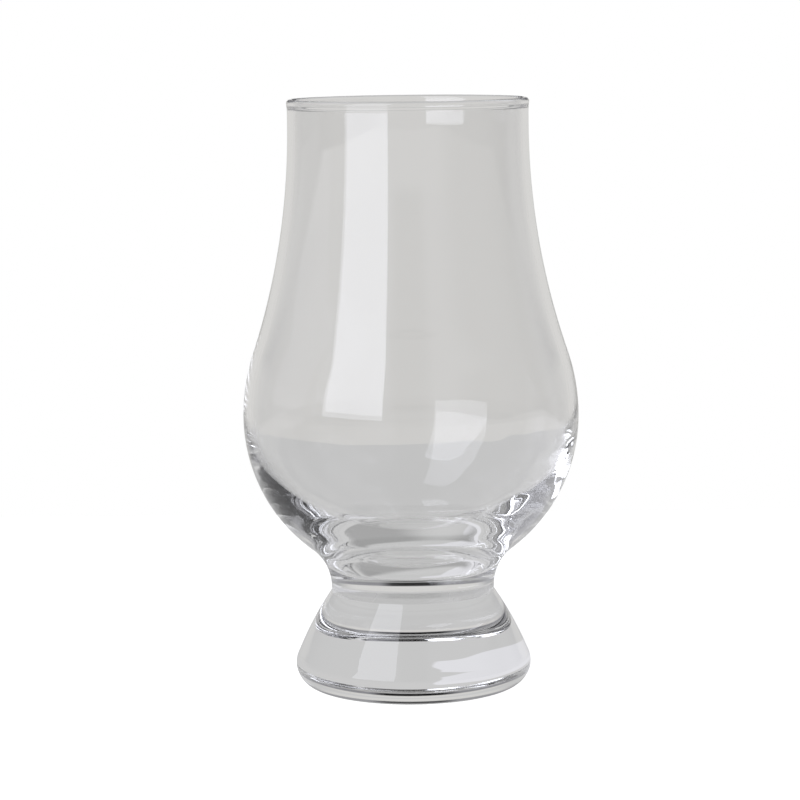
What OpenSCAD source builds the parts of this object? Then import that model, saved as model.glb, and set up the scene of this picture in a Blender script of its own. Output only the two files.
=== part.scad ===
// Whisky nosing glass: a blown tulip bowl fused to a pressed, solid foot.
// Both pieces are turned about the Z axis. The origin is the middle of the underside,
// which stands on the table at height zero.
// An outline point is [distance from the axis, height above the table].

/* [Overall] */
// Height of the glass, from the table to the top of the rim
glass_h = 115; // [106:0.5:126]

/* [Mouth] */
// Outer diameter of the chimney where its wall stands upright
mouth_d = 46.6; // [43:0.1:50]
// Wall thickness of the chimney at the mouth
mouth_wall = 1.35; // [0.9:0.05:2.2]
// Distance from the top of the rim down to where the wall stands upright
mouth_drop = 4.8; // [3.5:0.1:9]
// How far the melted rim swells out past the chimney
rim_swell = 0.12; // [0.02:0.02:0.3]
// Distance below the top of the rim at which that swelling starts
rim_swell_drop = 2.1; // [1.7:0.1:3.4]

/* [Belly] */
// Outer diameter of the bowl at its widest level
belly_d = 65.4; // [63:0.1:69]
// Height of the widest level above the table
belly_z = 53.4; // [51:0.1:57]
// Outline radius of the belly, from the widest level down to the neck
belly_curve_r = 32.4; // [30:0.1:34]
// Outline radius of the shoulder, from the widest level up to the chimney
shoulder_curve_r = 38.7; // [33:0.1:46]
// Wall thickness at the widest level
belly_wall = 1.7; // [1.2:0.05:2.6]

/* [Cavity] */
// How much higher the cavity is widest than the outside
cavity_rise = 0.6; // [0:0.1:2]
// Outline radius of the cavity below its widest level
cavity_curve_r = 24.4; // [23:0.1:25.6]
// Outline radius of the cavity above its widest level
cavity_shoulder_r = 36.5; // [31:0.1:44]
// Height of the cavity floor above the table
floor_z = 24; // [22.5:0.1:26]
// Radius of the level middle of the floor
floor_flat_r = 5.5; // [3.5:0.1:6.5]
// Outline radius of the corner round the floor, where the straight funnel wall begins
floor_corner_r = 6.5; // [5:0.1:8]

/* [Neck] */
// Outer diameter of the neck at its narrowest level
neck_d = 31.9; // [30:0.1:34]
// Height of the narrowest level above the table
neck_z = 19.6; // [17.5:0.1:21]
// Distance from the narrowest level down to the fused seam
seam_drop = 0.7; // [0.1:0.1:2]

/* [Foot] */
// Outer diameter of the foot at its widest level
foot_d = 46.2; // [42:0.1:54]
// Outline radius of the foot's rounded lower edge
foot_edge_r = 4.6; // [3:0.1:6]
// How far the flared flank bulges past a straight line
flank_bulge = 0.35; // [0.1:0.05:0.6]

/* [Hidden] */
// Largest gap allowed between a true curve and the short lines that draw it
curve_gap = 0.01;
glass_colour = "gainsboro";
glass_alpha = 0.55;

mouth_r = mouth_d / 2;
belly_r = belly_d / 2;
neck_r = neck_d / 2;
foot_r = foot_d / 2;
upright_z = glass_h - mouth_drop;
seam_z = neck_z - seam_drop;

// Belly arc: widest at belly_z
belly_c = [belly_r - belly_curve_r, belly_z];
// Neck arc: it touches the belly arc from outside and is upright at the narrowest level
neck_gap = neck_r - belly_c[0];
neck_curve_r = (pow(neck_gap, 2) + pow(belly_z - neck_z, 2) - pow(belly_curve_r, 2))
    / (2 * (belly_curve_r - neck_gap));
neck_c = [neck_r + neck_curve_r, neck_z];
seam_r = neck_c[0] - sqrt(pow(neck_curve_r, 2) - pow(seam_drop, 2));
seam_rim = [seam_r, seam_z];

// Cavity arc: widest a little above the outside's widest level
cavity_r = belly_r - belly_wall;
cavity_z = belly_z + cavity_rise;
cavity_c = [cavity_r - cavity_curve_r, cavity_z];
// Floor corner, and the angle at which the straight funnel wall leaves it and meets the cavity arc
corner_c = [floor_flat_r, floor_z + floor_corner_r];
funnel_a = heading(corner_c, cavity_c)
    - acos((floor_corner_r - cavity_curve_r) / norm(cavity_c - corner_c));

// Melted rim: a round that spans the wall and its swelling
rim_round_r = (mouth_wall + rim_swell) / 2;
rim_round_c = [mouth_r + rim_swell - rim_round_r, glass_h - rim_round_r];
swell_z = glass_h - rim_swell_drop;

// Foot edge arc, and the angle at which the flank leaves it
edge_c = [foot_r - foot_edge_r, foot_edge_r];
edge_end_a = heading(edge_c, seam_rim) - acos(foot_edge_r / norm(seam_rim - edge_c));

// Angle of the line from one point to another, from 0 to 360
function heading(from, to) = (atan2(to[1] - from[1], to[0] - from[0]) + 360) % 360;

// Point at a distance and an angle from a centre
function polar(c, r, a) = c + r * [cos(a), sin(a)];

// Number of short lines that keep an arc within curve_gap of the true curve
function arc_steps(r, turn) = max(2, ceil(abs(turn) / (2 * acos(1 - curve_gap / r))));

// Points of an arc, from one angle to another
function arc(c, r, a0, a1) =
    let (n = arc_steps(r, a1 - a0))
    [for (i = [0:n]) polar(c, r, a0 + (a1 - a0) * i / n)];

// A list without its first point, for joining one run to the next
function rest(points) = [for (i = [1:len(points) - 1]) points[i]];

// A list in the opposite order
function backwards(points) = [for (i = [len(points) - 1:-1:0]) points[i]];

// Smooth rise from 0 to 1
function ease(t) = t * t * (3 - 2 * t);

// Arc through two points that bulges by a small amount to the right of the line between them
function bulging(p, q, bulge) =
    let (
        half = norm(q - p) / 2,
        r = (pow(half, 2) + pow(bulge, 2)) / (2 * bulge),
        u = (q - p) / (2 * half),
        c = (p + q) / 2 - (r - bulge) * [u[1], -u[0]]
    )
    arc(c, r, heading(c, p), heading(c, q));

// Outline from the widest level of a wall up to where it stands upright:
// a shoulder arc, then the long hollow arc of the chimney that touches it
function upper_wall(widest, shoulder_r, top) =
    let (
        shoulder_c = [widest[0] - shoulder_r, widest[1]],
        gap = top[0] - shoulder_c[0],
        rise = top[1] - widest[1],
        hollow_r = (pow(gap, 2) + pow(rise, 2) - pow(shoulder_r, 2)) / (2 * (shoulder_r - gap)),
        hollow_c = [top[0] + hollow_r, top[1]],
        meet_a = heading(shoulder_c, hollow_c)
    )
    concat(
        arc(shoulder_c, shoulder_r, 0, meet_a),
        rest(arc(hollow_c, hollow_r, meet_a + 180, 180))
    );

// Swelling of the wall into the melted rim, on the outside
function rim_swelling() =
    let (n = 8)
    [for (i = [0:n]) [
        mouth_r + rim_swell * ease(i / n),
        swell_z + (rim_round_c[1] - swell_z) * i / n
    ]];

// Outside of the bowl, from the seam up to the rim
function bowl_outside() = concat(
    arc(neck_c, neck_curve_r, heading(neck_c, seam_rim), heading(neck_c, belly_c)),
    rest(arc(belly_c, belly_curve_r, heading(belly_c, neck_c) - 360, 0)),
    rest(upper_wall([belly_r, belly_z], shoulder_curve_r, [mouth_r, upright_z])),
    rim_swelling()
);

// Inside of the bowl, from the middle of the floor up to the rim
function bowl_inside() = concat(
    [[0, floor_z]],
    arc(corner_c, floor_corner_r, -90, funnel_a),
    arc(cavity_c, cavity_curve_r, funnel_a, 0),
    rest(upper_wall([cavity_r, cavity_z], cavity_shoulder_r, [mouth_r - mouth_wall, upright_z]))
);

// Section of the bowl: out along the seam, up the outside, over the rim and down the inside
function bowl_section() = concat(
    [[0, seam_z]],
    bowl_outside(),
    rest(arc(rim_round_c, rim_round_r, 0, 180)),
    backwards(bowl_inside())
);

// Section of the foot: out along the underside, round the edge, up the flank and in along the seam
function foot_section() =
    let (edge = arc(edge_c, foot_edge_r, -90, edge_end_a))
    concat(
        [[0, 0]],
        edge,
        rest(bulging(edge[len(edge) - 1], seam_rim, flank_bulge)),
        [[0, seam_z]]
    );

// A section turned about the axis
module turned(section) {
    rotate_extrude($fn = 128)
        polygon(section);
}

// Blown bowl with its melted rim, down to the seam under the neck
module bowl() {
    color(glass_colour, glass_alpha)
        turned(bowl_section());
}

// Pressed solid foot, up to the seam
module foot() {
    color(glass_colour, glass_alpha)
        turned(foot_section());
}

bowl();
foot();
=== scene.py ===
# %% [markdown]
# # A whisky nosing glass
#
# The real glass is two gathers of clear crystal fused while they are hot: a blown tulip bowl and a pressed,
# solid foot. Everything the eye sees comes from refraction and reflection, so the lesson is about true outlines,
# a wall with a real inside and outside, and a room for the glass to look at.
# The first cell loads the measured model. Its nodes are the frame that every piece is fitted to.

# %% Load the measured frame
from math import acos, atan2, ceil, cos, dist, pi, radians, sin, sqrt, tan

import bpy
from mathutils import Matrix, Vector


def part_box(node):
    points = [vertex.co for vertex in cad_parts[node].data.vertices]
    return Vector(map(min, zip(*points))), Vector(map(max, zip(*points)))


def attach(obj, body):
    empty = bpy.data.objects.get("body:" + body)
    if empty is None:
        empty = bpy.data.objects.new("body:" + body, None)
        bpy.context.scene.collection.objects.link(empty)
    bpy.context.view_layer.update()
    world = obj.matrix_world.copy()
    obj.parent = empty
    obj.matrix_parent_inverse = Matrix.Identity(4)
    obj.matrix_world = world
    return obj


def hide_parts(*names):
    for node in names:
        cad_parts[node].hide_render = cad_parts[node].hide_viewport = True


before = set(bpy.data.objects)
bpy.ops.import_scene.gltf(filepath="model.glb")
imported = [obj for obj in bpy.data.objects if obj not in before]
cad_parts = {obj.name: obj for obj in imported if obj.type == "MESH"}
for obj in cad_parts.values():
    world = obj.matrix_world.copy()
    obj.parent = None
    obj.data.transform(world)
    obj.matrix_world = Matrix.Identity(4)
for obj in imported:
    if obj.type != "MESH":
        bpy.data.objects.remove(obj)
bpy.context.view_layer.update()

bowl_low, bowl_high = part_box("bowl")
foot_low, foot_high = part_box("foot")
print("bowl box, m:", bowl_low, bowl_high)
print("foot box, m:", foot_low, foot_high)

# %% [markdown]
# ## Sizes
#
# The widths and heights that the frame holds are read from it, so the looks can't drift away from the
# construction. The rest are real sizes in millimetres. A glass is judged by its wall as much as by its outline:
# 1.35 mm at the lip, 1.7 mm at the belly, and a thick funnel-shaped bottom that works as a lens.

# %% Sizes of the glass
MM = 0.001

glass_h = bowl_high[2]
belly_r = bowl_high[0]
seam_z = bowl_low[2]
foot_r = foot_high[0]

mouth_r = 23.3 * MM
mouth_wall = 1.35 * MM
upright_z = glass_h - 4.8 * MM
rim_swell = 0.12 * MM
swell_z = glass_h - 2.1 * MM

belly_z = 53.4 * MM
belly_curve_r = 32.4 * MM
shoulder_curve_r = 38.7 * MM
belly_wall = 1.7 * MM

cavity_z = belly_z + 0.6 * MM
cavity_curve_r = 24.4 * MM
cavity_shoulder_r = 36.5 * MM
floor_z = 24 * MM
floor_flat_r = 5.5 * MM
floor_corner_r = 6.5 * MM

neck_r = 15.95 * MM
neck_z = 19.6 * MM
foot_edge_r = 4.6 * MM
flank_bulge = 0.35 * MM

print(f"glass {glass_h / MM:.1f} mm tall, belly {2 * belly_r / MM:.1f} mm, foot {2 * foot_r / MM:.1f} mm")

# %% [markdown]
# ## Drawing an outline with arcs
#
# A turned shape is known once its outline is: a list of points, each with its distance from the axis and its
# height. Glass makers draw such outlines with arcs that touch each other smoothly, and so does this cell.
# The number of short lines in an arc comes from the largest gap that they may leave to the true curve. It is
# a few thousandths of a millimetre here, because refraction magnifies every flat spot.

# %% Arc helpers
CURVE_GAP = 0.003 * MM


def heading(start, end):
    """Angle of the line from one point to another, from 0 to a full turn."""
    return atan2(end[1] - start[1], end[0] - start[0]) % (2 * pi)


def arc(centre, radius, start, end):
    """Points of an arc, from one angle to another."""
    steps = max(2, ceil(abs(end - start) / (2 * acos(1 - CURVE_GAP / radius))))
    angles = [start + (end - start) * i / steps for i in range(steps + 1)]
    return [(centre[0] + radius * cos(a), centre[1] + radius * sin(a)) for a in angles]


def upper_wall(widest, shoulder_r, top):
    """From the widest level of a wall up to where it stands upright: a shoulder arc, then a hollow arc."""
    shoulder = (widest[0] - shoulder_r, widest[1])
    gap = top[0] - shoulder[0]
    rise = top[1] - widest[1]
    hollow_r = (gap**2 + rise**2 - shoulder_r**2) / (2 * (shoulder_r - gap))
    hollow = (top[0] + hollow_r, top[1])
    meet = heading(shoulder, hollow)
    return arc(shoulder, shoulder_r, 0, meet) + arc(hollow, hollow_r, meet + pi, pi)[1:]


def bulging(p, q, bulge):
    """An arc through two points that bulges to the right of the line between them."""
    half = dist(p, q) / 2
    radius = (half**2 + bulge**2) / (2 * bulge)
    along = ((q[0] - p[0]) / (2 * half), (q[1] - p[1]) / (2 * half))
    centre = ((p[0] + q[0]) / 2 - (radius - bulge) * along[1], (p[1] + q[1]) / 2 + (radius - bulge) * along[0])
    return arc(centre, radius, heading(centre, p), heading(centre, q))


def ease(t):
    """Smooth rise from 0 to 1."""
    return t * t * (3 - 2 * t)


def finely(points, longest):
    """The same outline with extra points on every stretch that is longer than a given length."""
    result = [points[0]]
    for start, end in zip(points, points[1:]):
        steps = ceil(dist(start, end) / longest)
        result += [tuple(a + (b - a) * i / steps for a, b in zip(start, end)) for i in range(1, steps + 1)]
    return result


print("a full circle round the belly takes", len(arc((0, 0), belly_r, 0, 2 * pi)) - 1, "short lines")

# %% [markdown]
# ## The outline of the bowl
#
# On the real glass the belly is blown into a mould, the chimney is drawn in above it, and the lip is melted round
# in a flame, which leaves a bead a tenth of a millimetre proud. The cavity is not an offset of the outside: its wall
# thickens on the way down and ends in a straight funnel over a small floor. That funnel draws the curved
# brackets that show through the lower bowl.

# %% Outline of the bowl
belly_c = (belly_r - belly_curve_r, belly_z)
neck_gap = neck_r - belly_c[0]
neck_curve_r = (neck_gap**2 + (belly_z - neck_z)**2 - belly_curve_r**2) / (2 * (belly_curve_r - neck_gap))
neck_c = (neck_r + neck_curve_r, neck_z)
seam_rim = (neck_c[0] - sqrt(neck_curve_r**2 - (neck_z - seam_z)**2), seam_z)

rim_round_r = (mouth_wall + rim_swell) / 2
rim_round_c = (mouth_r + rim_swell - rim_round_r, glass_h - rim_round_r)
SWELL_STEPS = 12
# Shading is averaged over long faces, so the inside and the upright lip are cut into short ones
INSIDE_STEP, LIP_STEP = 1 * MM, 0.4 * MM

cavity_r = belly_r - belly_wall
cavity_c = (cavity_r - cavity_curve_r, cavity_z)
corner_c = (floor_flat_r, floor_z + floor_corner_r)
funnel_a = heading(corner_c, cavity_c) - acos((floor_corner_r - cavity_curve_r) / dist(corner_c, cavity_c))

bowl_outside = (
    arc(neck_c, neck_curve_r, heading(neck_c, seam_rim), heading(neck_c, belly_c))
    + arc(belly_c, belly_curve_r, heading(belly_c, neck_c) - 2 * pi, 0)[1:]
    + upper_wall((belly_r, belly_z), shoulder_curve_r, (mouth_r, upright_z))[1:-1]
    + finely([(mouth_r, upright_z), (mouth_r, swell_z)], LIP_STEP)
    + [
        (mouth_r + rim_swell * ease(i / SWELL_STEPS), swell_z + (rim_round_c[1] - swell_z) * i / SWELL_STEPS)
        for i in range(1, SWELL_STEPS + 1)
    ]
)
bowl_inside = finely(
    [(0, floor_z)]
    + arc(corner_c, floor_corner_r, -pi / 2, funnel_a)
    + arc(cavity_c, cavity_curve_r, funnel_a, 0)
    + upper_wall((cavity_r, cavity_z), cavity_shoulder_r, (mouth_r - mouth_wall, upright_z))[1:],
    INSIDE_STEP,
) + finely([(mouth_r - mouth_wall, upright_z), (mouth_r - mouth_wall, rim_round_c[1])], LIP_STEP)[1:-1]
print(len(bowl_outside), "points outside,", len(bowl_inside), "points inside")

# %% [markdown]
# ## The outline of the foot
#
# The foot is pressed in one piece: a flat underside, a rounded edge that won't chip, and a flank that flares
# with a very slight belly up to the neck. The sharp crease where it meets the bowl is the fused seam.

# %% Outline of the foot
edge_c = (foot_r - foot_edge_r, foot_edge_r)
edge_end = heading(edge_c, seam_rim) - acos(foot_edge_r / dist(edge_c, seam_rim))
foot_edge = arc(edge_c, foot_edge_r, -pi / 2, edge_end)
foot_outside = foot_edge + bulging(foot_edge[-1], seam_rim, flank_bulge)[1:]
print(len(foot_outside), "points round the foot")

# %% [markdown]
# ## One helper for nodes, and one for colours
#
# Geometry and material trees are built the same way, so one small function adds a node, sets its properties,
# and fills its inputs. An input that is given another node's output is linked to it, and anything else is a value.
# Colours are written as sRGB hex values, as a paint program shows them, and one function makes them linear.

# %% Node and colour helpers
def add(tree, kind, inputs=(), **settings):
    """Adds a node of a kind, with its properties and its inputs by name or place."""
    node = tree.nodes.new(kind)
    for name, value in settings.items():
        setattr(node, name, value)
    for name, value in dict(inputs).items():
        if isinstance(value, bpy.types.NodeSocket):
            tree.links.new(value, node.inputs[name])
        else:
            node.inputs[name].default_value = value
    return node


def linear(hex_colour):
    """An sRGB hex colour as linear RGBA."""
    channels = [int(hex_colour[i:i + 2], 16) / 255 for i in (1, 3, 5)]
    return [c / 12.92 if c <= 0.04045 else ((c + 0.055) / 1.055)**2.4 for c in channels] + [1]


print(f"paper of grey #808080 returns {linear('#808080')[0]:.2f} of the light")

# %% [markdown]
# ## The glass
#
# Lead-free crystal, blown and pressed, then fire-polished. It is clear and colourless, so the base colour is almost
# white, and its index of refraction is 1.52. Fire polishing leaves no scratches, only a long, shallow ripple from
# the mould. It is two micrometres high and nine millimetres long, and a bump pattern carries it. A higher ripple
# would break up the light that runs along inside the wall.

# %% Crystal material
RIPPLE_LENGTH = 9 * MM
RIPPLE_HEIGHT = 0.002 * MM
GLASS_COLOUR, GLASS_IOR = "#FEFEFE", 1.52


def crystal(name):
    """Clear fire-polished crystal with a shallow ripple."""
    material = bpy.data.materials.new(name)
    material.use_nodes = True
    tree = material.node_tree
    tree.nodes.clear()
    place = add(tree, "ShaderNodeTexCoord").outputs["Object"]
    ripple = add(tree, "ShaderNodeTexNoise", {"Vector": place, "Scale": 1 / RIPPLE_LENGTH, "Detail": 1})
    bump = add(tree, "ShaderNodeBump", {"Height": ripple.outputs["Fac"], "Strength": 1, "Distance": RIPPLE_HEIGHT})
    shader = add(tree, "ShaderNodeBsdfPrincipled", {
        "Base Color": linear(GLASS_COLOUR),
        "Roughness": 0,
        "IOR": GLASS_IOR,
        "Transmission Weight": 1,
        "Normal": bump.outputs["Normal"],
    })
    add(tree, "ShaderNodeOutputMaterial", {"Surface": shader.outputs["BSDF"]})
    return material


bowl_crystal = crystal("blown crystal, fire-polished")
foot_crystal = crystal("pressed crystal, fire-polished")
print("materials:", bowl_crystal.name, "and", foot_crystal.name)

# %% [markdown]
# ## The fused seam
#
# Two hot pieces of the same glass leave hardly a surface between them: light goes straight through. Each mesh
# still has to be closed, so the two discs that meet at the seam get a material that bends nothing. The skin of the
# foot had cooled a little when they met, so the seam mirrors faintly at a glancing angle. That shows as rings in
# the neck.

# %% Seam material
# The step in the index of refraction across the cooled skin, and how much of its mirroring is left
SEAM_STEP, SEAM_MIRROR = 1.12, 0.3

fused_seam = bpy.data.materials.new("fused seam, clear with a faint glancing mirror")
fused_seam.use_nodes = True
seam_tree = fused_seam.node_tree
seam_tree.nodes.clear()
glancing = add(seam_tree, "ShaderNodeFresnel", {"IOR": SEAM_STEP})
faint = add(seam_tree, "ShaderNodeMath", {0: glancing.outputs["Fac"], 1: SEAM_MIRROR}, operation="MULTIPLY")
straight_through = add(seam_tree, "ShaderNodeBsdfTransparent")
mirrored = add(seam_tree, "ShaderNodeBsdfAnisotropic", {"Roughness": 0})
seam_mix = add(seam_tree, "ShaderNodeMixShader", {
    0: faint.outputs[0], 1: straight_through.outputs["BSDF"], 2: mirrored.outputs["BSDF"],
})
add(seam_tree, "ShaderNodeOutputMaterial", {"Surface": seam_mix.outputs[0]})
print("material:", fused_seam.name)

# %% [markdown]
# ## The lathe: the sweep
#
# A Geometry Nodes tree turns an outline about the axis. The outline is swept round a tiny circle on the axis, so its
# points sit one circle radius nearer than they should, and the sweep puts them back. Points on the axis meet
# there and are merged, which closes the poles.

# %% Sweep the outline
AXIS_CIRCLE_R = 1 * MM
MERGE_GAP = 0.001 * MM


def swept(tree, given):
    """The outline turned about the axis, with its poles closed."""
    outline = add(tree, "GeometryNodeMeshToCurve", {"Mesh": given["Outline"]})
    circle = add(tree, "GeometryNodeCurvePrimitiveCircle", {
        "Resolution": given["Sides"],
        "Radius": given["Axis circle radius"],
    })
    upright = add(tree, "GeometryNodeSetCurveNormal", {"Curve": circle.outputs["Curve"]}, mode="Z_UP")
    turned = add(tree, "GeometryNodeCurveToMesh", {
        "Curve": upright.outputs["Curve"],
        "Profile Curve": outline.outputs["Curve"],
    })
    closed = add(tree, "GeometryNodeMergeByDistance", {"Geometry": turned.outputs["Mesh"], "Distance": MERGE_GAP})
    return closed.outputs["Geometry"]


# %% [markdown]
# ## The lathe: the hand-tooled inside
#
# The inside of a blown bowl is never quite true, and the thick lower wall magnifies that into the ripples at the
# edges of the photographed bowl. A mark on the outline's points travels with the sweep and says how uneven each
# point is. The waves lie level, because the glass is turned while it is soft, so they are shorter up and down.
# One side was worked more than the other: +X keeps the full height, and -X a fraction of it.

# %% Unevenness
LEVEL_WAVES = 2.2
NOISE_MIDDLE = 0.5
CALM_UNTIL, WORKED_FROM = 4 * MM, 22 * MM


def made_uneven(tree, given, smooth_mesh):
    """The mesh with its marked points pushed in and out along their normals."""
    where = add(tree, "GeometryNodeInputPosition").outputs["Position"]
    squeezed = add(tree, "ShaderNodeVectorMath", {0: where, 1: (1, 1, LEVEL_WAVES)}, operation="MULTIPLY")
    frequency = add(tree, "ShaderNodeMath", {0: 1, 1: given["Unevenness length"]}, operation="DIVIDE")
    noise = add(tree, "ShaderNodeTexNoise", {
        "Vector": squeezed.outputs["Vector"],
        "W": given["Seed"],
        "Scale": frequency.outputs[0],
        "Detail": 1,
    }, noise_dimensions="4D")
    wave = add(tree, "ShaderNodeMath", {0: noise.outputs["Fac"], 1: NOISE_MIDDLE}, operation="SUBTRACT")
    across = add(tree, "ShaderNodeSeparateXYZ", {"Vector": where})
    side = add(tree, "ShaderNodeMapRange", {
        "Value": across.outputs["X"],
        "From Min": CALM_UNTIL,
        "From Max": WORKED_FROM,
        "To Min": given["Calm side"],
        "To Max": 1,
    }, interpolation_type="SMOOTHSTEP")
    inside = add(tree, "GeometryNodeInputNamedAttribute", {"Name": "inside"}, data_type="FLOAT")
    push = wave.outputs[0]
    for factor in (given["Unevenness height"], side.outputs["Result"], inside.outputs["Attribute"]):
        push = add(tree, "ShaderNodeMath", {0: push, 1: factor}, operation="MULTIPLY").outputs[0]
    normal = add(tree, "GeometryNodeInputNormal")
    offset = add(tree, "ShaderNodeVectorMath", {0: normal.outputs["Normal"], "Scale": push}, operation="SCALE")
    moved = add(tree, "GeometryNodeSetPosition", {"Geometry": smooth_mesh, "Offset": offset.outputs["Vector"]})
    return moved.outputs["Geometry"]


# %% [markdown]
# ## The lathe: faces and materials
#
# The sweep leaves the faces looking inward, so they are turned over once. Everything is shaded smooth but the
# seam's border, because shading averaged across that crease would bend light wrongly. A second mark on the outline
# says which faces are the seam disc.

# %% Finish the turned mesh
FULLY_MARKED = 0.99


def finished(tree, given, mesh):
    """The mesh with its faces outward, its crease kept, and glass and seam on it."""
    outward = add(tree, "GeometryNodeFlipFaces", {"Mesh": mesh})
    edge_angle = add(tree, "GeometryNodeInputMeshEdgeAngle")
    crease = add(tree, "FunctionNodeCompare", {
        0: edge_angle.outputs["Unsigned Angle"],
        1: given["Crease angle"],
    }, operation="GREATER_THAN")
    rounded = add(tree, "GeometryNodeSetShadeSmooth", {"Geometry": outward.outputs["Mesh"]})
    creased = add(tree, "GeometryNodeSetShadeSmooth", {
        "Geometry": rounded.outputs["Geometry"],
        "Selection": crease.outputs["Result"],
        "Shade Smooth": False,
    }, domain="EDGE")
    realized = add(tree, "GeometryNodeRealizeInstances", {"Geometry": creased.outputs["Geometry"]})
    glazed = add(tree, "GeometryNodeSetMaterial", {
        "Geometry": realized.outputs["Geometry"],
        "Material": given["Glass"],
    })
    seam = add(tree, "GeometryNodeInputNamedAttribute", {"Name": "seam"}, data_type="FLOAT")
    on_seam = add(tree, "FunctionNodeCompare", {
        0: seam.outputs["Attribute"],
        1: FULLY_MARKED,
    }, operation="GREATER_THAN")
    seamed = add(tree, "GeometryNodeSetMaterial", {
        "Geometry": glazed.outputs["Geometry"],
        "Selection": on_seam.outputs["Result"],
        "Material": given["Seam"],
    })
    return seamed.outputs["Geometry"]


# %% [markdown]
# ## The lathe: its inputs
#
# What a learner may want to try is a named input of the tree: the number of sides, the height, length and seed of
# the unevenness, and how much of it the calm side keeps. The three steps then follow one another.

# %% Lathe tree
lathe = bpy.data.node_groups.new("lathe", "GeometryNodeTree")
lathe.is_modifier = True
lathe_inputs = {}
for name, kind in (
    ("Outline", "NodeSocketGeometry"),
    ("Sides", "NodeSocketInt"),
    ("Axis circle radius", "NodeSocketFloat"),
    ("Unevenness height", "NodeSocketFloat"),
    ("Unevenness length", "NodeSocketFloat"),
    ("Calm side", "NodeSocketFloat"),
    ("Seed", "NodeSocketFloat"),
    ("Crease angle", "NodeSocketFloat"),
    ("Glass", "NodeSocketMaterial"),
    ("Seam", "NodeSocketMaterial"),
):
    lathe_inputs[name] = lathe.interface.new_socket(name, in_out="INPUT", socket_type=kind).identifier
lathe.interface.new_socket("Turned piece", in_out="OUTPUT", socket_type="NodeSocketGeometry")
group_inputs = add(lathe, "NodeGroupInput").outputs
true_mesh = swept(lathe, group_inputs)
uneven_mesh = made_uneven(lathe, group_inputs, true_mesh)
add(lathe, "NodeGroupOutput", {"Turned piece": finished(lathe, group_inputs, uneven_mesh)})
print("lathe inputs:", ", ".join(lathe_inputs))

# %% [markdown]
# ## Turning a piece
#
# The outline goes in as a mesh of points and edges. Each point carries the two marks. The modifier is set by its
# inputs' identifiers, evaluated once, and its result becomes a plain mesh. With 256 sides, the flats of the belly
# lie less than three thousandths of a millimetre inside the true circle.

# %% Turn a piece
SIDES = 256
UNEVEN_LENGTH = 12 * MM
UNEVEN_HEIGHT = 0.5 * MM
CALM_SIDE = 0.12
CREASE_ANGLE = radians(25)


def turned_piece(name, outline, glass, seed, uneven_height=0.0):
    """Turns [(radius, height, inside, seam), ...] about the axis and returns a plain mesh object."""
    mesh = bpy.data.meshes.new(name)
    points = [(r - AXIS_CIRCLE_R, -z, 0) for r, z, _, _ in outline]
    mesh.from_pydata(points, [(i, i + 1) for i in range(len(points) - 1)], [])
    for mark, column in (("inside", 2), ("seam", 3)):
        values = mesh.attributes.new(mark, "FLOAT", "POINT")
        values.data.foreach_set("value", [float(point[column]) for point in outline])
    maker = bpy.data.objects.new(name + "_outline", mesh)
    bpy.context.scene.collection.objects.link(maker)
    modifier = maker.modifiers.new("lathe", "NODES")
    modifier.node_group = lathe
    for socket, value in (
        ("Sides", SIDES),
        ("Axis circle radius", AXIS_CIRCLE_R),
        ("Unevenness height", uneven_height),
        ("Unevenness length", UNEVEN_LENGTH),
        ("Calm side", CALM_SIDE),
        ("Seed", seed),
        ("Crease angle", CREASE_ANGLE),
        ("Glass", glass),
        ("Seam", fused_seam),
    ):
        modifier[lathe_inputs[socket]] = value
    shape = maker.evaluated_get(bpy.context.evaluated_depsgraph_get())
    plain = bpy.data.meshes.new_from_object(shape)
    plain.name = name
    piece = bpy.data.objects.new(name, plain)
    bpy.context.scene.collection.objects.link(piece)
    bpy.data.objects.remove(maker)
    print(name, len(plain.polygons), "faces,", len(plain.vertices), "points")
    return piece


# %% [markdown]
# ## Marking and turning the two outlines
#
# The bowl's outline runs from the middle of the seam up the outside, over the rim and down the inside to the middle
# of the floor. The foot's runs from the middle of the underside round the edge, up the flank and back along the
# seam. The unevenness belongs to the thick wall inside, from the floor's edge up to the belly. The points of the
# seam's level carry the seam's mark.

# %% Bowl and foot
FLOOR_SMOOTH, WALL_UNEVEN = 17 * MM, 25 * MM
UNEVEN_UP_TO, SMOOTH_FROM = 50 * MM, 58 * MM
BOWL_SEED, FOOT_SEED = 3.0, 5.0


def smooth_rise(value, low, high):
    """Smooth rise from 0 at the low value to 1 at the high one."""
    return ease(min(1, max(0, (value - low) / (high - low))))


def worked(r, z):
    """How uneven the inside is: none on the floor, fully below the belly, and none above it."""
    return smooth_rise(r, FLOOR_SMOOTH, WALL_UNEVEN) * (1 - smooth_rise(z, UNEVEN_UP_TO, SMOOTH_FROM))


rim_round = arc(rim_round_c, rim_round_r, 0, pi)[1:]
bowl_outline = (
    [(0, seam_z, 0, 1)]
    + [(r, z, 0, z <= seam_z) for r, z in bowl_outside]
    + [(r, z, 0, 0) for r, z in rim_round]
    + [(r, z, worked(r, z), 0) for r, z in reversed(bowl_inside)]
)
foot_outline = (
    [(0, foot_low[2], 0, 0)]
    + [(r, z, 0, z >= seam_z) for r, z in foot_outside]
    + [(0, seam_z, 0, 1)]
)
tulip_bowl = turned_piece("tulip_bowl", bowl_outline, bowl_crystal, BOWL_SEED, UNEVEN_HEIGHT)
solid_foot = turned_piece("solid_foot", foot_outline, foot_crystal, FOOT_SEED)

# %% [markdown]
# ## Handing the pieces to the frame
#
# The measured solids stay for collision, and each turned piece stands for one of them. Both are one body, because
# a glass has no moving parts.

# %% Hand the pieces to the frame
for piece, node in ((tulip_bowl, "bowl"), (solid_foot, "foot")):
    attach(piece, "root")
    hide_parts(node)
    print(piece.name, "stands for", node)

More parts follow.
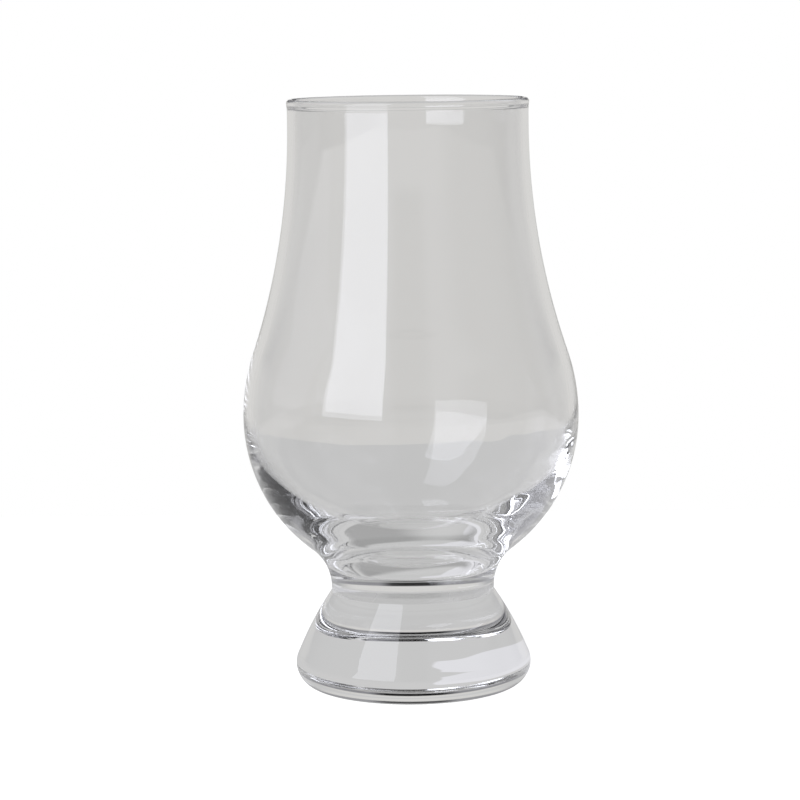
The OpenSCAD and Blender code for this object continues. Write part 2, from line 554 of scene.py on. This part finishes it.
# %% [markdown]
# ## Painting with soft areas
#
# The greys that the glass shows are painted in coats: a ground colour, and over it one coat after another, each with
# the area that it covers. An area is one inside and zero outside, and it is the product of its soft borders.

# %% Soft areas and coats
def soft_area(tree, *borders):
    """One inside an area and zero outside it. Each border is (value, its level outside, its level inside)."""
    area = 1
    for value, outside, inside in borders:
        edge = add(tree, "ShaderNodeMapRange", {
            "Value": value, "From Min": outside, "From Max": inside,
        }, interpolation_type="SMOOTHSTEP")
        area = add(tree, "ShaderNodeMath", {0: area, 1: edge.outputs["Result"]}, operation="MULTIPLY").outputs[0]
    return area


def painted(tree, ground, *coats):
    """A ground colour with coats laid over it. Each coat is (its area, its colour)."""
    colour = linear(ground)
    for area, coat in coats:
        # The Mix node names its sockets alike for every data type, so its colour sockets are taken by place
        colour = add(tree, "ShaderNodeMix", {0: area, 6: colour, 7: linear(coat)}, data_type="RGBA").outputs[2]
    return colour


# %% [markdown]
# ## Light and shade on the paper
#
# The photographed foot works as a lens on the paper. It gathers light into a patch with a wavy border under its
# right half. It shades a crescent under its edge, which the floor of the cavity shows, and a strip close in front,
# which keeps the foot's dark band dark. Light that a lamp sends through glass renders as noise, so all three are
# painted into the paper instead. The camera sees them only through the glass.

# %% The patch of light
PATCH_LEFT, PATCH_NEAR, PATCH_FAR, PATCH_BLUR = 4.5 * MM, 2 * MM, 5.5 * MM, 0.6 * MM
PATCH_SLANT = 0.9
WAVE_LENGTH, WAVE_HEIGHT = 6 * MM, 4 * MM


def gathered_light(tree, place):
    """The patch of light that the foot gathers on the paper."""
    waves = add(tree, "ShaderNodeTexNoise", {"Vector": place, "Scale": 1 / WAVE_LENGTH, "Detail": 0})
    shifted = add(tree, "ShaderNodeVectorMath", {
        0: waves.outputs["Color"], 1: (WAVE_HEIGHT, WAVE_HEIGHT, 0), 2: place,
    }, operation="MULTIPLY_ADD")
    at = add(tree, "ShaderNodeSeparateXYZ", {"Vector": shifted.outputs["Vector"]}).outputs
    # Its far border runs aslant, further from the camera on the right
    aslant = add(tree, "ShaderNodeMath", {0: at["X"], 1: -PATCH_SLANT, 2: at["Y"]}, operation="MULTIPLY_ADD")
    return soft_area(
        tree,
        (at["X"], PATCH_LEFT, PATCH_LEFT + PATCH_BLUR),
        (at["Y"], PATCH_NEAR, PATCH_NEAR + PATCH_BLUR),
        (aslant.outputs[0], PATCH_FAR + PATCH_BLUR, PATCH_FAR),
    )


# %% The foot's shades
LIT_MIDDLE, LIT_R, LIT_BLUR = (3 * MM, 8 * MM, 0), 16 * MM, 3 * MM
CRESCENT_EDGE = foot_r + 1 * MM, foot_r - 2 * MM
STRIP_INNER_EDGE, STRIP_OUTER_EDGE = (foot_r - 1 * MM, foot_r + 1 * MM), (31 * MM, 28 * MM)
STRIP_ENDS = -4 * MM, -16 * MM


def foot_shades(tree, place):
    """The crescent that the foot shades under its edge, and the strip close in front of it."""
    from_light = add(tree, "ShaderNodeVectorMath", {0: place, 1: LIT_MIDDLE}, operation="DISTANCE").outputs["Value"]
    from_axis = add(tree, "ShaderNodeVectorMath", {0: place}, operation="LENGTH").outputs["Value"]
    at_y = add(tree, "ShaderNodeSeparateXYZ", {"Vector": place}).outputs["Y"]
    crescent = soft_area(tree, (from_light, LIT_R, LIT_R + LIT_BLUR), (from_axis, *CRESCENT_EDGE))
    strip = soft_area(tree, (from_axis, *STRIP_INNER_EDGE), (from_axis, *STRIP_OUTER_EDGE), (at_y, *STRIP_ENDS))
    return crescent, strip


# %% [markdown]
# ## The paper
#
# Clear glass has no colour of its own: it shows the room. The photographed glass stood on grey paper, in front of a
# pale backdrop, and was then cut out onto white. To the camera the floor is white. Glossy and transmitted rays see
# greys instead, and Light Path tells the two apart. Only the floor's answer to the camera has a lit part, which
# keeps the shadow.

# %% Paper
CUT_OUT_WHITE = "#FFFFFF"
TABLE_GREY, GATHERED_LIGHT, FOOT_SHADE, FRONT_SHADE = "#CACACA", "#E2E2E6", "#A4A4A4", "#202020"
LIT_PAPER, FLOOR_LIFT = "#E6E6E6", 0.92

table_paper = bpy.data.materials.new("studio table paper")
table_paper.use_nodes = True
paper_tree = table_paper.node_tree
paper_tree.nodes.clear()
on_paper = add(paper_tree, "ShaderNodeTexCoord").outputs["Object"]
crescent, strip = foot_shades(paper_tree, on_paper)
paper_colour = painted(
    paper_tree,
    TABLE_GREY,
    (gathered_light(paper_tree, on_paper), GATHERED_LIGHT),
    (crescent, FOOT_SHADE),
    (strip, FRONT_SHADE),
)
shown_in_glass = add(paper_tree, "ShaderNodeEmission", {"Color": paper_colour, "Strength": 1})
lit = add(paper_tree, "ShaderNodeBsdfDiffuse", {"Color": linear(LIT_PAPER)})
lift = add(paper_tree, "ShaderNodeEmission", {"Color": linear(CUT_OUT_WHITE), "Strength": FLOOR_LIFT})
lit_and_lifted = add(paper_tree, "ShaderNodeAddShader", {0: lit.outputs["BSDF"], 1: lift.outputs["Emission"]})
ray = add(paper_tree, "ShaderNodeLightPath").outputs
in_glass = add(paper_tree, "ShaderNodeMath", {
    0: ray["Is Glossy Ray"], 1: ray["Is Transmission Ray"],
}, operation="MAXIMUM")
answer = add(paper_tree, "ShaderNodeMixShader", {
    0: in_glass.outputs[0], 1: lit_and_lifted.outputs[0], 2: shown_in_glass.outputs["Emission"],
})
add(paper_tree, "ShaderNodeOutputMaterial", {"Surface": answer.outputs[0]})
print("the paper takes", len(paper_tree.nodes), "nodes")

# %% [markdown]
# ## The table top
#
# The paper ends 20 cm behind the axis, because its far edge is the soft line that crosses the lower bowl. It touches
# the foot: its level is a twelfth of a millimetre above the underside, so that light goes from the glass straight
# into the paper and the foot shows it evenly.

# %% Table top
TABLE_FAR, TABLE_NEAR, TABLE_HALF_WIDTH = 0.2, -1.5, 1.0
CONTACT_DEPTH = 0.08 * MM

table_mesh = bpy.data.meshes.new("table_top")
table_mesh.from_pydata([
    (-TABLE_HALF_WIDTH, TABLE_NEAR, CONTACT_DEPTH),
    (TABLE_HALF_WIDTH, TABLE_NEAR, CONTACT_DEPTH),
    (TABLE_HALF_WIDTH, TABLE_FAR, CONTACT_DEPTH),
    (-TABLE_HALF_WIDTH, TABLE_FAR, CONTACT_DEPTH),
], [], [(0, 1, 2, 3)])
table_mesh.materials.append(table_paper)
table_top = bpy.data.objects.new("table_top", table_mesh)
bpy.context.scene.collection.objects.link(table_top)
print(f"table top {2 * TABLE_HALF_WIDTH:.1f} by {TABLE_FAR - TABLE_NEAR:.1f} m")

# %% [markdown]
# ## The room
#
# Each part of the glass shows one direction of the room, and tinting the directions tells which. The dark edge at
# the lower left shows the right of the room, so a black curtain hangs there. The bright one at the lower right
# shows the left. The dark band in the foot shows the middle of the ceiling, over the backdrop and high up behind
# the camera, so it is dark there. Its sides are grey, which keeps the shoulder and the rim pale, and a pale header
# crosses it behind the glass, which keeps the neck from turning black.
# The greys are painted by direction in the world: X points right, Y away from the camera, and Z up. Each border is
# a pair, outside and inside. Those across the room are parts of a direction of length one, and those up and down
# are angles above the horizon in degrees. The camera sees white instead.

# %% Room
ROOM_GREY, BACKDROP_GREY, CURTAIN_GREY = "#A0A0A2", "#D6D5D3", "#0E0E12"
CEILING_GREY, DARK_CEILING, HEADER_GREY = "#8C8C90", "#0A0A0A", "#B0B0B0"
BACKDROP_EDGE = 0.5, 0.85
WALL_TOP = 4.5, 7.5
DARK_MIDDLE_EDGE = 0.3, 0.15
DARK_BEHIND_LOW, DARK_BEHIND_EDGE = (37, 49), (0, -0.3)
CURTAIN_EDGE, CURTAIN_END, CURTAIN_TOP = (0.4, 0.75), (0.45, 0.15), (28, 22)
HEADER_LOW, HEADER_TOP, HEADER_EDGE = (14, 19), (39, 34), (0.5, 0.7)

world = bpy.data.worlds.new("studio room")
bpy.context.scene.world = world
world.use_nodes = True
room = world.node_tree
room.nodes.clear()
direction = add(room, "ShaderNodeTexCoord").outputs["Generated"]
toward = add(room, "ShaderNodeSeparateXYZ", {"Vector": direction}).outputs
off_middle = add(room, "ShaderNodeMath", {0: toward["X"]}, operation="ABSOLUTE").outputs[0]


def at_angles(angles):
    """A level border all round the room, from its two angles above the horizon."""
    return (toward["Z"], *(sin(radians(angle)) for angle in angles))


backdrop = soft_area(room, (toward["Y"], *BACKDROP_EDGE))
ceiling = soft_area(room, at_angles(WALL_TOP))
dark_middle = soft_area(room, at_angles(WALL_TOP), (off_middle, *DARK_MIDDLE_EDGE))
dark_behind = soft_area(room, at_angles(DARK_BEHIND_LOW), (toward["Y"], *DARK_BEHIND_EDGE))
curtain = soft_area(room, (toward["X"], *CURTAIN_EDGE), (toward["Y"], *CURTAIN_END), at_angles(CURTAIN_TOP))
header = soft_area(room, at_angles(HEADER_LOW), at_angles(HEADER_TOP), (toward["Y"], *HEADER_EDGE))
room_colour = painted(
    room,
    ROOM_GREY,
    (backdrop, BACKDROP_GREY),
    (ceiling, CEILING_GREY),
    (dark_middle, DARK_CEILING),
    (dark_behind, DARK_CEILING),
    (curtain, CURTAIN_GREY),
    (header, HEADER_GREY),
    (add(room, "ShaderNodeLightPath").outputs["Is Camera Ray"], CUT_OUT_WHITE),
)
background = add(room, "ShaderNodeBackground", {"Color": room_colour, "Strength": 1})
add(room, "ShaderNodeOutputWorld", {"Surface": background.outputs["Background"]})
print("the room takes", len(room.nodes), "nodes")

# %% [markdown]
# ## The softbox
#
# One tall softbox stands to the left of the camera. Its reflection is the bright strip down the front of the bowl
# and the foot, and the far wall of the bowl shows it a second time, upside down and on the other side. The camera
# doesn't see the lamp itself. Its power follows from how bright its surface should look, in units of white paper.
# Lengths are in metres, and the bearing and the half angle in degrees.

# %% Softbox
SOFTBOX_DISTANCE = 0.6
SOFTBOX_BEARING = 40
SOFTBOX_HALF_ANGLE = 21
SOFTBOX_LOW, SOFTBOX_HIGH = 0.075, 1.342
SOFTBOX_BRIGHTNESS = 2.4
SOFTBOX_TINT = "#F3F5FF"

lamp = bpy.data.lights.new("softbox", "AREA")
lamp.shape = "RECTANGLE"
lamp.color = linear(SOFTBOX_TINT)[:3]
lamp.size = 2 * SOFTBOX_DISTANCE * tan(radians(SOFTBOX_HALF_ANGLE))
lamp.size_y = SOFTBOX_HIGH - SOFTBOX_LOW
lamp.energy = SOFTBOX_BRIGHTNESS * pi * lamp.size * lamp.size_y
softbox = bpy.data.objects.new("softbox", lamp)
softbox.location = (
    -SOFTBOX_DISTANCE * sin(radians(SOFTBOX_BEARING)),
    -SOFTBOX_DISTANCE * cos(radians(SOFTBOX_BEARING)),
    (SOFTBOX_LOW + SOFTBOX_HIGH) / 2,
)
softbox.rotation_euler = (radians(90), 0, radians(-SOFTBOX_BEARING))
softbox.visible_camera = False
bpy.context.scene.collection.objects.link(softbox)
print(f"softbox {lamp.size:.3f} by {lamp.size_y:.3f} m, {lamp.energy:.2f} W")

# %% [markdown]
# ## The camera
#
# The photo was taken with a long lens from a little under 60 cm away and a little above the rim. The glass leans by
# a little over half a degree in the picture and stands a little to the right of the lens axis. A tilt about the
# line of sight and a small shift of the frame say so. Lengths are in metres and angles in degrees, and the focal
# length and the shift are in pixels of the photo, as they were fitted.

# %% Camera
FRAME_PIXELS = 800
SENSOR_WIDTH = 36
FOCAL_PIXELS, SHIFT_PIXELS = 2996.6, -10.84
CAMERA_PLACE = (0, -0.58026, 0.131675)
LOOKING_DOWN, LEANING = 7.39973, -0.6296

camera_data = bpy.data.cameras.new("camera")
camera_data.sensor_width = SENSOR_WIDTH
camera_data.lens = FOCAL_PIXELS * SENSOR_WIDTH / FRAME_PIXELS
camera_data.shift_x = SHIFT_PIXELS / FRAME_PIXELS
camera = bpy.data.objects.new("camera", camera_data)
looking_down = Matrix.Rotation(radians(90 - LOOKING_DOWN), 4, "X")
leaning = Matrix.Rotation(radians(LEANING), 4, "Z")
camera.matrix_world = Matrix.Translation(CAMERA_PLACE) @ looking_down @ leaning
bpy.context.scene.collection.objects.link(camera)
bpy.context.scene.camera = camera
print(f"camera lens {camera_data.lens:.1f} mm")

# %% [markdown]
# ## Light paths and view
#
# Light that runs along inside a wall is reflected dozens of times before it leaves. With too few bounces the rim
# and the edges of the lower bowl turn black. The Standard view shows the greys as they are written.

# %% Light paths and view
BOUNCES = 128

cycles = bpy.context.scene.cycles
cycles.max_bounces = cycles.transmission_bounces = cycles.glossy_bounces = BOUNCES
bpy.context.scene.view_settings.view_transform = "Standard"
print(BOUNCES, "bounces")
